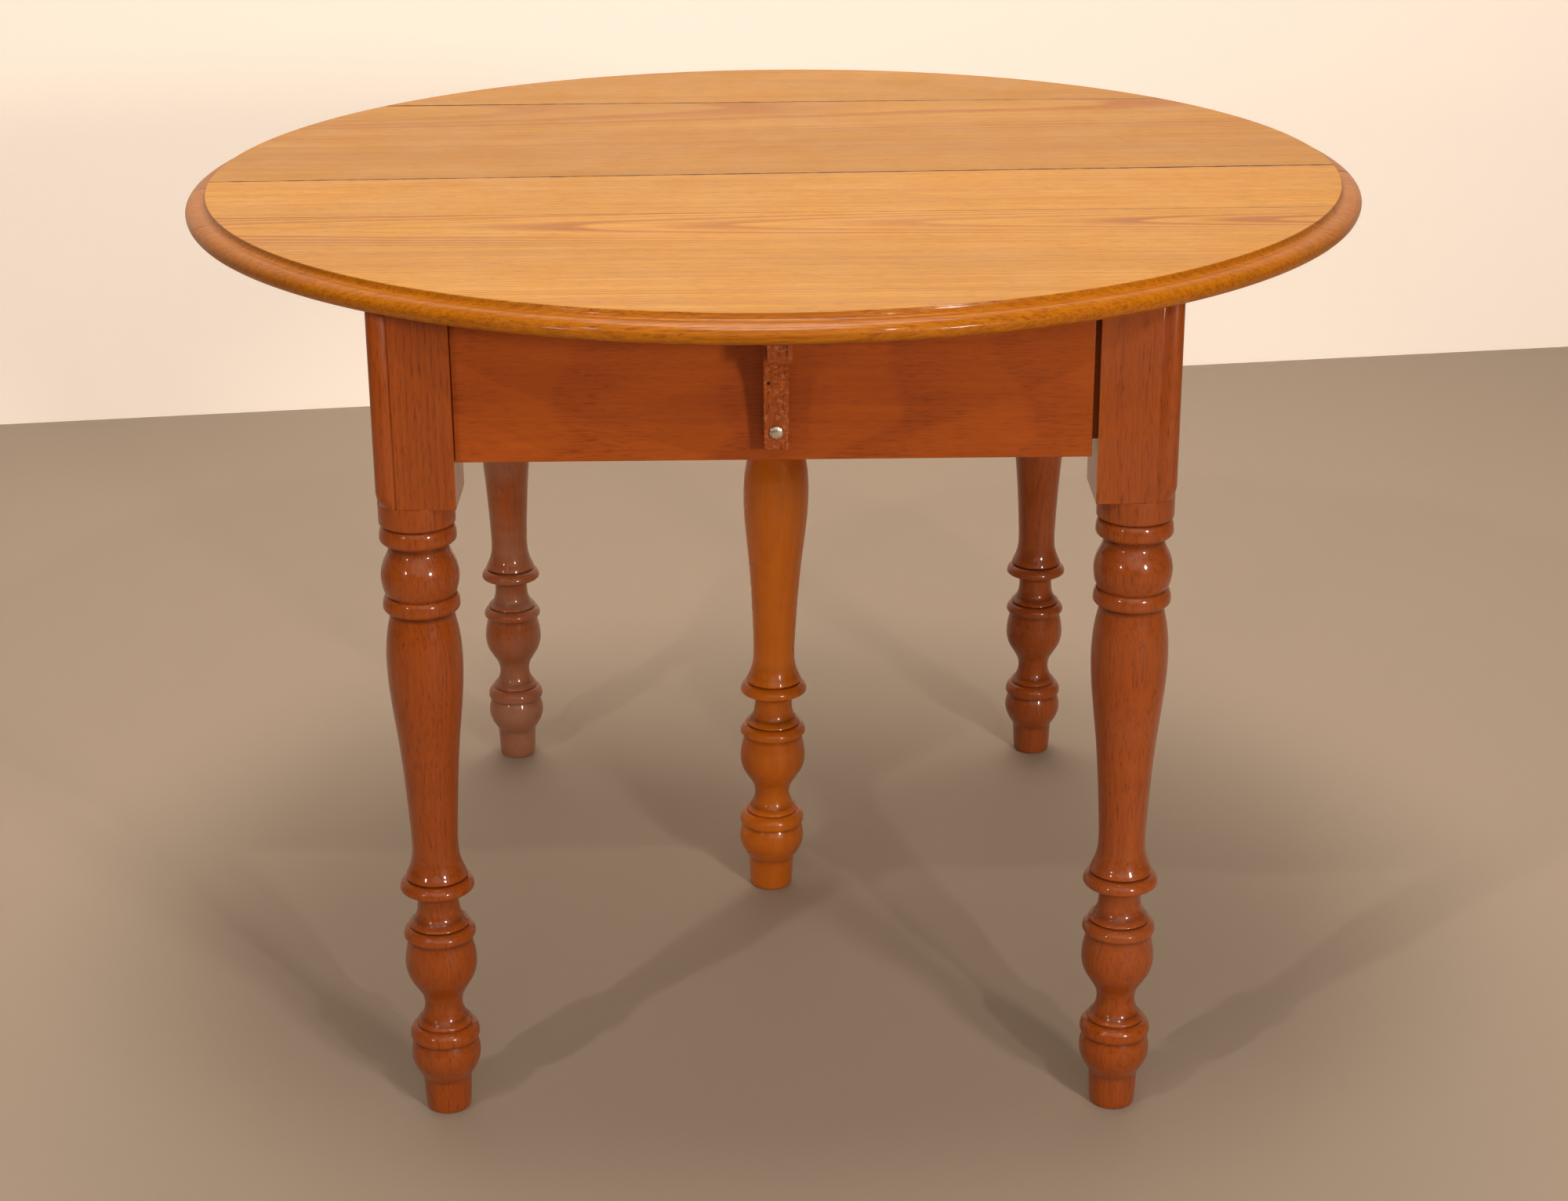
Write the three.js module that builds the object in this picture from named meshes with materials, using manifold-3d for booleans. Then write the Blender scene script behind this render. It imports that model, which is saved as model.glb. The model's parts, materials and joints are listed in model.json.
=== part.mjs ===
// Round five-leg extension table, closed, with no leaves in it.
// Millimetres. +X is to the right, +Y runs the way the back half slides, +Z is up.
// The origin is on the floor under the middle of the top.

import * as THREE from 'three';
import { mergeVertices } from 'three/addons/utils/BufferGeometryUtils.js';
import Module from 'manifold-3d';

const wasm = await Module();
wasm.setup();

// ---- Driving dimensions -------------------------------------------------

const tableHeight = 756; // 29 3/4 in
const topDiameter = 1067; // 42 in
const topThickness = 22;
const clearance = 0.3; // between pieces that touch

const legSpanX = 588; // between the axes of the turning, side to side
const legSpanY = 772; // between the axes of the turning, front to back
const legBlock = 66; // square upper part of a leg
const blockInset = 3; // the square part sits this much nearer the middle than the turning
const legBlockFoot = 568; // height at which the square part ends
const centreBlock = 70; // square upper part of the fifth leg
const centreLegY = 49; // the fifth leg stands just behind the split

const apronHeight = 128;
const apronThickness = 22;
const apronSetback = 6; // apron face behind the leg face
const frontShoulderGap = 4; // the front apron has drawn out of its right leg

const tenonThickness = 8;
const tenonLength = 24;
const tenonHeight = 102;

const slideTravel = 450; // each half of the top
const railWidth = 22;
const railLength = 705;
const centreRailX = 150;
const centreRailWidth = 24;
const tongueDepth = 8;
const tongueHeight = 12;
const slideClearance = 0.6;
const stopLength = 20;

// ---- Derived places -----------------------------------------------------

const topRadius = topDiameter / 2;
const underside = tableHeight - topThickness;
const frameTop = underside - clearance;
const axisX = legSpanX / 2;
const axisY = legSpanY / 2;
const blockX = axisX - blockInset;
const blockY = axisY - blockInset;
const halfBlock = legBlock / 2;
const apronBottom = underside - apronHeight;
const tenonInset = apronSetback + apronThickness / 2; // tenon centre from the leg's outer face
const tenonMiddle = (apronBottom + frameTop) / 2;
const endApronOuter = blockY + halfBlock - apronSetback;
const endApronInner = endApronOuter - apronThickness;
const sideApronOuter = blockX + halfBlock - apronSetback;
const sideApronInner = sideApronOuter - apronThickness;

// The split between the halves runs a little out of square: y = splitMiddle + splitSlope * x.
const splitMiddle = -22.5;
const splitSlope = 0.0222;
// The joint in front of the rear board has opened from the left rim to about the middle.
const rearJointMiddle = 326;
const rearJointSlope = -0.0066;
// The front half is two boards glued along this line.
const frontJointY = -182;

// ---- Solids -------------------------------------------------------------

function toSolid(geometry) {
  const plain = geometry.clone();
  plain.deleteAttribute('normal');
  plain.deleteAttribute('uv');
  const merged = mergeVertices(plain, 1e-4);
  const index = merged.index.array;
  const triangles = [];
  for (let i = 0; i < index.length; i += 3) {
    const [a, b, c] = [index[i], index[i + 1], index[i + 2]];
    if (a !== b && b !== c && c !== a) triangles.push(a, b, c);
  }
  return new wasm.Manifold(new wasm.Mesh({
    numProp: 3,
    vertProperties: new Float32Array(merged.attributes.position.array),
    triVerts: new Uint32Array(triangles),
  }));
}

function toGeometry(solid) {
  const mesh = solid.getMesh();
  const geometry = new THREE.BufferGeometry();
  geometry.setAttribute('position', new THREE.BufferAttribute(mesh.vertProperties, 3));
  geometry.setIndex(new THREE.BufferAttribute(mesh.triVerts, 1));
  return geometry;
}

// A box from its two corners.
function block(x0, x1, y0, y1, z0, z1) {
  const geometry = new THREE.BoxGeometry(x1 - x0, y1 - y0, z1 - z0);
  geometry.translate((x0 + x1) / 2, (y0 + y1) / 2, (z0 + z1) / 2);
  return geometry;
}

// A body turned about a vertical axis from [radius, height] points, bottom first.
function turned(outline, segments) {
  const points = outline.map(([radius, height]) => new THREE.Vector2(radius, height));
  const geometry = new THREE.LatheGeometry(points, segments);
  geometry.rotateX(Math.PI / 2);
  return geometry;
}

// A flat outline of [x, y] points, given a thickness upwards from z0 to z1.
function upright(outline, z0, z1) {
  const shape = new THREE.Shape(outline.map(([x, y]) => new THREE.Vector2(x, y)));
  const geometry = new THREE.ExtrudeGeometry(shape, { depth: z1 - z0, bevelEnabled: false });
  geometry.translate(0, 0, z0);
  return geometry;
}

// A section of [across, up] points carried along Y from y0 to y1; across is +X.
function along(outline, y0, y1) {
  const shape = new THREE.Shape(outline.map(([x, z]) => new THREE.Vector2(x, -z)));
  const geometry = new THREE.ExtrudeGeometry(shape, { depth: y1 - y0, bevelEnabled: false });
  geometry.rotateX(-Math.PI / 2);
  geometry.translate(0, y0, 0);
  return geometry;
}

function arc(centreA, centreB, radius, from, to, steps) {
  const points = [];
  for (let i = 0; i <= steps; i += 1) {
    const angle = THREE.MathUtils.degToRad(from + (to - from) * (i / steps));
    points.push([centreA + radius * Math.cos(angle), centreB + radius * Math.sin(angle)]);
  }
  return points;
}

// ---- Finishes -----------------------------------------------------------

const finishes = {
  oakTop: { color: 0xd99a58, roughness: 0.35, metalness: 0 },
  redOak: { color: 0x8a4a20, roughness: 0.45, metalness: 0 },
  maple: { color: 0xb0601f, roughness: 0.3, metalness: 0 },
  plainWood: { color: 0xb08a5c, roughness: 0.75, metalness: 0 },
  steel: { color: 0xb9b6ae, roughness: 0.35, metalness: 1 },
};

const table = new THREE.Group();

function add(name, geometry, finish, parent = table) {
  const mesh = new THREE.Mesh(geometry, new THREE.MeshStandardMaterial(finishes[finish]));
  mesh.name = name;
  parent.add(mesh);
  return mesh;
}

const sides = [['left', -1], ['right', 1]];
const ends = [['front', -1], ['back', 1]];

// ---- Top boards ---------------------------------------------------------

const roundRadius = 8; // the half-round on the lower part of the rim
const roundCentre = topRadius - roundRadius;
const fieldRadius = topRadius - 18.5; // the flat field inside the moulding

function topDisc() {
  const outline = [
    [0, underside],
    ...arc(roundCentre, underside + roundRadius, roundRadius, -90, 130, 8),
    [fieldRadius + 2, tableHeight - 6],
    [fieldRadius + 0.6, tableHeight - 1],
    [fieldRadius - 0.6, tableHeight],
    [0, tableHeight],
  ];
  return toSolid(turned(outline, 72));
}

// Everything between two nearly straight lines across the table, each given as [middle, slope].
function strip([lowMiddle, lowSlope], [highMiddle, highSlope]) {
  const reach = topRadius + 50;
  const lineY = (middle, slope, x) => middle + slope * x;
  return toSolid(upright([
    [-reach, lineY(lowMiddle, lowSlope, -reach)],
    [reach, lineY(lowMiddle, lowSlope, reach)],
    [reach, lineY(highMiddle, highSlope, reach)],
    [-reach, lineY(highMiddle, highSlope, -reach)],
  ], underside - 10, tableHeight + 10));
}

const dowelRadius = 5;
const dowelReach = 28; // into each half
const dowelPlaces = [-380, 0, 380];

// A round bar along Y, about its middle.
function lying(radius, length, x, y, z, facets = 12) {
  const geometry = new THREE.CylinderGeometry(radius, radius, length, facets);
  geometry.translate(x, y, z);
  return geometry;
}

function dowelHoles(solid) {
  let drilled = solid;
  for (const x of dowelPlaces) {
    const y = splitMiddle + splitSlope * x;
    const hole = lying(dowelRadius + clearance, 2 * dowelReach + 2, x, y, tableHeight - topThickness / 2);
    drilled = drilled.subtract(toSolid(hole));
  }
  return drilled;
}

const jointHalfGap = clearance / 2;
const splitHalfGap = 0.5;
const splitWidening = 0.001; // the split is a little wider at the right
const rearJointGap = 0.9; // at the middle of the table
const rearJointWidening = 0.002; // it is widest at the left
const farEdge = topRadius + 40;
const boards = {
  top_front_outer_board: strip([-farEdge, 0], [frontJointY - jointHalfGap, 0]),
  top_front_inner_board: strip(
    [frontJointY + jointHalfGap, 0],
    [splitMiddle - splitHalfGap, splitSlope - splitWidening],
  ),
  top_back_inner_board: strip(
    [splitMiddle + splitHalfGap, splitSlope],
    [rearJointMiddle - rearJointGap, rearJointSlope + rearJointWidening],
  ),
  top_back_outer_board: strip([rearJointMiddle, rearJointSlope], [farEdge, 0]),
};
for (const [name, cutter] of Object.entries(boards)) {
  const board = topDisc().intersect(cutter);
  const drilled = name.includes('inner') ? dowelHoles(board) : board;
  add(name, toGeometry(drilled), 'oakTop');
}

dowelPlaces.forEach((x, i) => {
  const y = splitMiddle + splitSlope * x;
  const dowel = lying(dowelRadius, 2 * dowelReach, x, y, tableHeight - topThickness / 2);
  add(`seam_dowel_${['left', 'middle', 'right'][i]}`, dowel, 'plainWood');
});

// ---- Legs ---------------------------------------------------------------

// A ring around the leg, widest low down, between a root radius below it and one above it.
function ring(bottom, top, rootBelow, radius, rootAbove) {
  const widest = bottom + (top - bottom) * 0.3;
  const points = [];
  for (const t of [0, 0.5, 0.87]) {
    const bulge = Math.sqrt(1 - (1 - t) ** 2);
    points.push([rootBelow + (radius - rootBelow) * bulge, bottom + (widest - bottom) * t]);
  }
  for (const t of [0, 0.4, 0.75, 1]) {
    const bulge = Math.sqrt(1 - t ** 2);
    points.push([rootAbove + (radius - rootAbove) * bulge, widest + (top - widest) * t]);
  }
  return points;
}

// The turning shared by all five legs, as [radius, height] from the floor up to the square part.
const turning = [
  [0, 0],
  [17.5, 0],
  [19.5, 3],
  [21, 31],
  [25.5, 39],
  [29.5, 48.5],
  [30.3, 55],
  [29.5, 61.5],
  ...ring(69.5, 84, 27, 30.3, 23.5),
  [24.3, 85],
  [20, 91],
  [16.6, 101],
  [19.2, 115],
  [24.2, 123.5],
  [30, 136],
  [31, 146],
  [29.8, 156],
  ...ring(168.5, 180.5, 27.5, 31.2, 24),
  [26.2, 181.5],
  [21.5, 187],
  [18, 198],
  [18.2, 212],
  ...ring(213, 226, 21, 31.9, 24.5),
  [26.6, 227.2],
  [23.6, 235],
  [20.3, 248],
  [20.1, 270],
  [22, 303],
  [25.8, 352.5],
  [30, 391],
  [32, 424],
  [31, 446],
  [26.8, 469],
  ...ring(471.5, 486, 26.6, 32.2, 28.8),
  [31, 491],
  [32.5, 503],
  [29.6, 516],
  [25.4, 526],
  ...ring(531, 547, 25, 32, 29),
  [31.8, 549],
  [31.8, legBlockFoot],
];

const legSides = 12;

// The square part, with its outer corner (+X, +Y) worked as a round bead between two grooves.
function legBlockOutline() {
  const beadRadius = 8.5;
  const beadCentre = halfBlock - beadRadius;
  const groove = 1.4;
  const grooveFrom = beadCentre - beadRadius - groove;
  const grooveDepth = 2;
  return [
    [-halfBlock, -halfBlock],
    [halfBlock, -halfBlock],
    [halfBlock, grooveFrom],
    [halfBlock - grooveDepth, grooveFrom + groove / 2],
    ...arc(beadCentre, beadCentre, beadRadius, -60, 150, 8),
    [grooveFrom + groove / 2, halfBlock - grooveDepth],
    [grooveFrom, halfBlock],
    [-halfBlock, halfBlock],
  ].map(([x, y]) => [x - blockInset, y - blockInset]);
}

function mortise(swapped) {
  const across = halfBlock - tenonInset - blockInset;
  const face = -halfBlock - blockInset;
  const deep = [face - 5, face + tenonLength + 2 * clearance];
  const wide = [across - tenonThickness / 2 - clearance, across + tenonThickness / 2 + clearance];
  const low = tenonMiddle - tenonHeight / 2 - clearance;
  const high = tenonMiddle + tenonHeight / 2 + clearance;
  return swapped ? block(...wide, ...deep, low, high) : block(...deep, ...wide, low, high);
}

function cornerLeg() {
  const shank = toSolid(turned([...turning, [0, legBlockFoot + 4]], legSides));
  const square = toSolid(upright(legBlockOutline(), legBlockFoot, frameTop));
  const whole = shank.add(square);
  return toGeometry(whole.subtract(toSolid(mortise(false))).subtract(toSolid(mortise(true))));
}

const quarterTurns = { right_back: 0, left_back: 1, left_front: 2, right_front: 3 };
for (const [sideName, sx] of sides) {
  for (const [endName, sy] of ends) {
    const leg = add(`leg_${endName}_${sideName}`, cornerLeg(), 'redOak');
    leg.rotation.z = quarterTurns[`${sideName}_${endName}`] * (Math.PI / 2);
    leg.position.set(sx * axisX, sy * axisY, 0);
  }
}

// ---- Aprons -------------------------------------------------------------

const tenonLow = tenonMiddle - tenonHeight / 2;
const tenonHigh = tenonMiddle + tenonHeight / 2;
const shoulderX = blockX - halfBlock;
const shoulderY = blockY - halfBlock;

// The rim bracket's screw goes into the end apron here.
const bracketX = { front: 1, back: 0 };
const bracketScrewHeight = 635;
const pilotRadius = 2.5;

for (const [endName, sy] of ends) {
  const middle = sy * (endApronOuter - apronThickness / 2);
  const pilot = toSolid(
    lying(pilotRadius, 36, bracketX[endName], sy * endApronOuter, bracketScrewHeight, 10),
  );
  const rightGap = endName === 'front' ? frontShoulderGap : clearance;
  const y0 = middle - apronThickness / 2;
  const y1 = middle + apronThickness / 2;
  const board = toSolid(
    block(-shoulderX + clearance, shoulderX - rightGap, y0, y1, apronBottom, frameTop),
  );
  const tenon = toSolid(block(
    -shoulderX - tenonLength, shoulderX + tenonLength,
    middle - tenonThickness / 2, middle + tenonThickness / 2,
    tenonLow, tenonHigh,
  ));
  add(`apron_${endName}`, toGeometry(board.add(tenon).subtract(pilot)), 'redOak');
}

for (const [sideName, sx] of sides) {
  const middle = sx * (sideApronOuter - apronThickness / 2);
  const split = splitMiddle + splitSlope * middle;
  for (const [endName, sy] of ends) {
    const shoulder = sy * (shoulderY - clearance);
    const cut = split + sy * 0.5;
    const board = toSolid(block(
      middle - apronThickness / 2, middle + apronThickness / 2,
      Math.min(shoulder, cut), Math.max(shoulder, cut),
      apronBottom, frameTop,
    ));
    const root = shoulder - sy * 5;
    const tip = sy * (shoulderY + tenonLength);
    const tenon = toSolid(block(
      middle - tenonThickness / 2, middle + tenonThickness / 2,
      Math.min(root, tip), Math.max(root, tip),
      tenonLow, tenonHigh,
    ));
    add(`apron_${sideName}_${endName}`, toGeometry(board.add(tenon)), 'redOak');
  }
}

// ---- Corner braces and cleats inside the frame --------------------------

const braceThickness = 20;
const braceLow = 634;
const braceHigh = 706;
const cleat = 22;

for (const [sideName, sx] of sides) {
  for (const [endName, sy] of ends) {
    const wallX = sideApronInner - clearance;
    const wallY = endApronInner - clearance;
    const outerSum = shoulderX + shoulderY - 5; // x + y on the face towards the leg
    const innerSum = outerSum - braceThickness * Math.SQRT2;
    const outline = [
      [wallX, outerSum - wallX],
      [outerSum - wallY, wallY],
      [innerSum - wallY, wallY],
      [wallX, innerSum - wallX],
    ].map(([x, y]) => [x * sx, y * sy]);
    if (sx * sy < 0) outline.reverse();
    add(`corner_brace_${endName}_${sideName}`, upright(outline, braceLow, braceHigh), 'plainWood');
  }
}

const cleatTop = frameTop;
const cleatBottom = cleatTop - cleat;
for (const [endName, sy] of ends) {
  const outer = sy * (endApronInner - clearance);
  const inner = outer - sy * cleat;
  const span = shoulderX - 2;
  add(
    `cleat_${endName}`,
    block(-span, span, Math.min(outer, inner), Math.max(outer, inner), cleatBottom, cleatTop),
    'plainWood',
  );
}
for (const [sideName, sx] of sides) {
  const outer = sx * (sideApronInner - clearance);
  const inner = outer - sx * cleat;
  const split = splitMiddle + splitSlope * outer;
  for (const [endName, sy] of ends) {
    const near = split + sy * 12;
    const far = sy * (shoulderY - 2);
    const cleatBlock = block(
      Math.min(outer, inner), Math.max(outer, inner),
      Math.min(near, far), Math.max(near, far),
      cleatBottom, cleatTop,
    );
    add(`cleat_${sideName}_${endName}`, cleatBlock, 'plainWood');
  }
}

// ---- Sliding rails ------------------------------------------------------

// Each side has three rails next to each other. The outer one is fixed under the front half, the
// inner one under the back half, and the centre one stays with the fifth leg. The centre rail's
// tongues run in grooves in its neighbours; a block at the end of each groove stops the slide.
const railTop = frameTop;
const railBottom = railTop - 50;
const centreRailTop = railTop - 3;
const centreRailBottom = railBottom - 4;
const centreRailLength = 700;
const tongueMiddle = (railTop + railBottom) / 2;
const frontRailFrom = -365;
const frontRailTo = frontRailFrom + railLength;
const backRailTo = 365;
const backRailFrom = backRailTo - railLength;
const frontTongueTo = frontRailTo - slideTravel - stopLength - clearance;
const backTongueFrom = backRailFrom + slideTravel + stopLength + clearance;
const railGap = centreRailWidth / 2 + slideClearance;

// face is the x of the grooved face, and toward is the way from that face into the rail.
function groovedRail(face, toward, y0, y1) {
  const back = face + toward * railWidth;
  const deep = face + toward * (tongueDepth + 1);
  const low = tongueMiddle - tongueHeight / 2 - slideClearance;
  const high = tongueMiddle + tongueHeight / 2 + slideClearance;
  const outline = [
    [face, railBottom],
    [back, railBottom],
    [back, railTop],
    [face, railTop],
    [face, high],
    [deep, high],
    [deep, low],
    [face, low],
  ];
  if (toward > 0) outline.reverse();
  return along(outline, y0, y1);
}

for (const [sideName, sx] of sides) {
  const axis = sx * centreRailX;
  const outerFace = axis + sx * railGap;
  const innerFace = axis - sx * railGap;
  add(`front_rail_${sideName}`, groovedRail(outerFace, sx, frontRailFrom, frontRailTo), 'plainWood');
  add(`back_rail_${sideName}`, groovedRail(innerFace, -sx, backRailFrom, backRailTo), 'plainWood');

  const edge = sx * (centreRailWidth / 2);
  const tip = sx * (centreRailWidth / 2 + tongueDepth);
  const body = toSolid(block(
    axis - centreRailWidth / 2, axis + centreRailWidth / 2,
    -centreRailLength / 2, centreRailLength / 2,
    centreRailBottom, centreRailTop,
  ));
  const frontTongue = toSolid(block(
    Math.min(axis + edge - sx, axis + tip), Math.max(axis + edge - sx, axis + tip),
    -centreRailLength / 2, frontTongueTo,
    tongueMiddle - tongueHeight / 2, tongueMiddle + tongueHeight / 2,
  ));
  const backTongue = toSolid(block(
    Math.min(axis - edge + sx, axis - tip), Math.max(axis - edge + sx, axis - tip),
    backTongueFrom, centreRailLength / 2,
    tongueMiddle - tongueHeight / 2, tongueMiddle + tongueHeight / 2,
  ));
  add(`centre_rail_${sideName}`, toGeometry(body.add(frontTongue).add(backTongue)), 'plainWood');

  const stopLow = tongueMiddle - tongueHeight / 2;
  const stopHigh = tongueMiddle + tongueHeight / 2;
  const frontStop = [outerFace + sx * 0.5, outerFace + sx * (tongueDepth + 0.7)].sort((a, b) => a - b);
  const backStop = [innerFace - sx * 0.5, innerFace - sx * (tongueDepth + 0.7)].sort((a, b) => a - b);
  add(
    `front_rail_stop_${sideName}`,
    block(...frontStop, frontRailTo - stopLength, frontRailTo, stopLow, stopHigh),
    'plainWood',
  );
  add(
    `back_rail_stop_${sideName}`,
    block(...backStop, backRailFrom, backRailFrom + stopLength, stopLow, stopHigh),
    'plainWood',
  );
}

// ---- Fifth leg and what ties it to the centre rails ---------------------

const bearerTop = centreRailBottom - clearance;
const bearerBottom = bearerTop - 32;
const bearerDepth = 80;
const bearerReach = centreRailX + 18;
const centreTenon = 34;
const centreStoutness = 1.05; // the fifth leg is turned a little stouter than the others
const halfCentreBlock = centreBlock / 2;

// The fifth leg and its braces stand a little out of true: the foot to the left, the top to the right.
const lean = 0.019; // sideways per unit of height
const leanCentreHeight = 290;
function leaning(geometry) {
  const sheared = new THREE.Matrix4().makeShear(0, 0, 0, 0, lean, 0);
  sheared.setPosition(-lean * leanCentreHeight, 0, 0);
  return geometry.applyMatrix4(sheared);
}

const bearer = toSolid(block(
  -bearerReach, bearerReach,
  centreLegY - bearerDepth / 2, centreLegY + bearerDepth / 2,
  bearerBottom, bearerTop,
));
// The mortise is cut wide enough for the leaning tenon.
const tenonSlack = centreTenon / 2 + clearance;
const leanAt = (height) => lean * (height - leanCentreHeight);
const bearerMortise = toSolid(block(
  leanAt(bearerBottom) - tenonSlack, leanAt(bearerTop) + tenonSlack,
  centreLegY - centreTenon / 2 - clearance, centreLegY + centreTenon / 2 + clearance,
  bearerBottom - 5, bearerTop + 5,
));
add('centre_bearer', toGeometry(bearer.subtract(bearerMortise)), 'plainWood');

const centreTurning = turning.map(([radius, height]) => [radius * centreStoutness, height]);
const centreShank = toSolid(turned([...centreTurning, [0, legBlockFoot + 4]], legSides));
const centreSquare = toSolid(block(
  -halfCentreBlock, halfCentreBlock, -halfCentreBlock, halfCentreBlock,
  legBlockFoot, bearerBottom - clearance,
));
const centreTenonSolid = toSolid(block(
  -centreTenon / 2, centreTenon / 2, -centreTenon / 2, centreTenon / 2,
  bearerBottom - 10, bearerTop - 1,
));
const centreWhole = toGeometry(centreShank.add(centreSquare).add(centreTenonSolid));
const centreLeg = add('leg_centre', leaning(centreWhole), 'maple');
centreLeg.position.y = centreLegY;

for (const [sideName, sx] of sides) {
  const inner = halfCentreBlock + clearance;
  const reach = 105;
  const top = bearerBottom - clearance;
  const outline = [
    [inner, top],
    [reach, top],
    [reach, top - 12],
    [inner, top - 80],
  ].map(([x, z]) => [x * sx, z]);
  if (sx > 0) outline.reverse();
  const brace = along(outline, centreLegY - 12, centreLegY + 12);
  add(`centre_leg_brace_${sideName}`, leaning(brace), 'plainWood');
}

for (const [endName, sy] of ends) {
  const y = sy * 322;
  const tie = block(-bearerReach, bearerReach, y - 20, y + 20, bearerTop - 18, bearerTop);
  add(`centre_rail_tie_${endName}`, tie, 'plainWood');
}

// ---- Rim brackets -------------------------------------------------------

// A block on the middle of each end apron holds up the overhanging rim.
const bracketWidth = 20;
const bracketLow = 620;
const bracketStep = 699;
const bracketHead = 50; // how far the head stands out from the apron
const headShift = { front: 3, back: 0 }; // the front head is sawn out of line with its stem
const bracketScrewRadius = 2.2;
const bracketScrewLength = 34;

// A part of the bracket, as [out from the apron, height] points, centred on a place across.
function bracketPart(outline, across) {
  const shape = new THREE.Shape(outline.map(([y, z]) => new THREE.Vector2(y, z)));
  const part = new THREE.ExtrudeGeometry(shape, { depth: bracketWidth, bevelEnabled: false });
  part.rotateX(Math.PI / 2);
  part.rotateZ(Math.PI / 2);
  part.translate(across - bracketWidth / 2, 0, 0);
  return toSolid(part);
}

for (const [endName, sy] of ends) {
  const wall = endApronOuter + clearance;
  const stem = bracketPart([
    [wall, bracketLow],
    [wall + 17, bracketLow],
    [wall + 19, bracketLow + 30],
    [wall + 24, bracketLow + 58],
    [wall + 33, bracketStep],
    [wall + 33, frameTop],
    [wall, frameTop],
  ], 0);
  const bracketTop = bracketPart([
    [wall, bracketStep],
    [wall + bracketHead, bracketStep + 2],
    [wall + bracketHead, frameTop],
    [wall, frameTop],
  ], sy * headShift[endName]);
  const bracket = stem.add(bracketTop);
  const hole = lying(bracketScrewRadius + clearance, 80, 0, wall, bracketScrewHeight, 10);
  const screwFront = wall + 19.5;
  const shank = lying(
    bracketScrewRadius, bracketScrewLength,
    0, screwFront - bracketScrewLength / 2, bracketScrewHeight, 10,
  );
  const head = new THREE.CylinderGeometry(4.6, 5.9, 2.4, 14);
  head.translate(0, screwFront + 0.3, bracketScrewHeight);

  const holder = new THREE.Group();
  holder.position.x = bracketX[endName];
  holder.rotation.z = sy > 0 ? 0 : Math.PI;
  table.add(holder);
  add(`rim_bracket_${endName}`, toGeometry(bracket.subtract(toSolid(hole))), 'redOak', holder);
  add(`bracket_screw_${endName}`, toGeometry(toSolid(shank).add(toSolid(head))), 'steel', holder);
}

export default table;
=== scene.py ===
"""A round five-leg extension table in lacquered oak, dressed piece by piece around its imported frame."""

import json
import math

import bmesh
import bpy
from mathutils import Matrix, Vector


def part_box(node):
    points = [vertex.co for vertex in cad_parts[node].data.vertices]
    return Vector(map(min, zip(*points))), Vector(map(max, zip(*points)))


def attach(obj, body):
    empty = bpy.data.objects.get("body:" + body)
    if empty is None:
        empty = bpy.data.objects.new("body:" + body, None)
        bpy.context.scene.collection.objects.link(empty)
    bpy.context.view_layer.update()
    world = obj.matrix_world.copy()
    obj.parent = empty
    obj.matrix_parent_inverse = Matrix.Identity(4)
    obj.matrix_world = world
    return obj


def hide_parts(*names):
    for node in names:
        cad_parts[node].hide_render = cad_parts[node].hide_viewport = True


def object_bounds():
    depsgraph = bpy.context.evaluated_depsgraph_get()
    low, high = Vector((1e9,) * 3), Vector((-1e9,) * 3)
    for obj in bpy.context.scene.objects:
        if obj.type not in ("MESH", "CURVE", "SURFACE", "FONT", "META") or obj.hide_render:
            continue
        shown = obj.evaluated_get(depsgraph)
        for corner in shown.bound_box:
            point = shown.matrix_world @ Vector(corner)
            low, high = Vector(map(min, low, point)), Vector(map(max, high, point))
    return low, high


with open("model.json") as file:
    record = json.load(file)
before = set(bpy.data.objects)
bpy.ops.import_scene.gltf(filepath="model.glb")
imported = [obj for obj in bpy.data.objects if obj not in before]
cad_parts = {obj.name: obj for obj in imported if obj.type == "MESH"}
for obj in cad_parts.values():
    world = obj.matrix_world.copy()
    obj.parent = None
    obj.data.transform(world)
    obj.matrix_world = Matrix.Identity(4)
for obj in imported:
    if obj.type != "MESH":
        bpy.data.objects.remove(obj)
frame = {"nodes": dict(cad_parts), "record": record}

cad_low, cad_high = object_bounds()


# ---- Top boards --------------------------------------------------------------------------
# Four oak boards: two glued for the front half, two for the back. The rim moulding is worked
# on the boards themselves, a hollow step and then a half-round. They are screwed to the cleats.

MM = 0.001
top_z = cad_high.z
underside_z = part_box("top_back_inner_board")[0].z
rim_radius = cad_high.x
field_radius = rim_radius - 18.5 * MM
round_height = 16 * MM
quarter_round_steps = 72
weld = 1e-6


def arc_points(centre, radii, start, end, steps):
    """Points of an elliptical arc, from one angle to another in degrees."""
    turns = [math.radians(start + (end - start) * i / steps) for i in range(steps + 1)]
    return [(centre[0] + radii[0] * math.cos(t), centre[1] + radii[1] * math.sin(t)) for t in turns]


def spun(outline, quarter_steps):
    """A body turned about the Z axis from (radius, height) points: a quarter turn, mirrored twice."""
    mesh = bmesh.new()
    points = [mesh.verts.new((radius, 0.0, height)) for radius, height in outline]
    lines = [mesh.edges.new(pair) for pair in zip(points, points[1:])]
    bmesh.ops.spin(
        mesh, geom=points + lines, cent=(0, 0, 0), axis=(0, 0, 1), angle=math.pi / 2,
        steps=quarter_steps, use_merge=False,
    )
    for axis in ("X", "Y"):
        drawn = mesh.verts[:] + mesh.edges[:] + mesh.faces[:]
        bmesh.ops.mirror(mesh, geom=drawn, axis=axis, merge_dist=weld)
    bmesh.ops.remove_doubles(mesh, verts=mesh.verts, dist=weld)
    bmesh.ops.recalc_face_normals(mesh, faces=mesh.faces)
    return mesh


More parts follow.
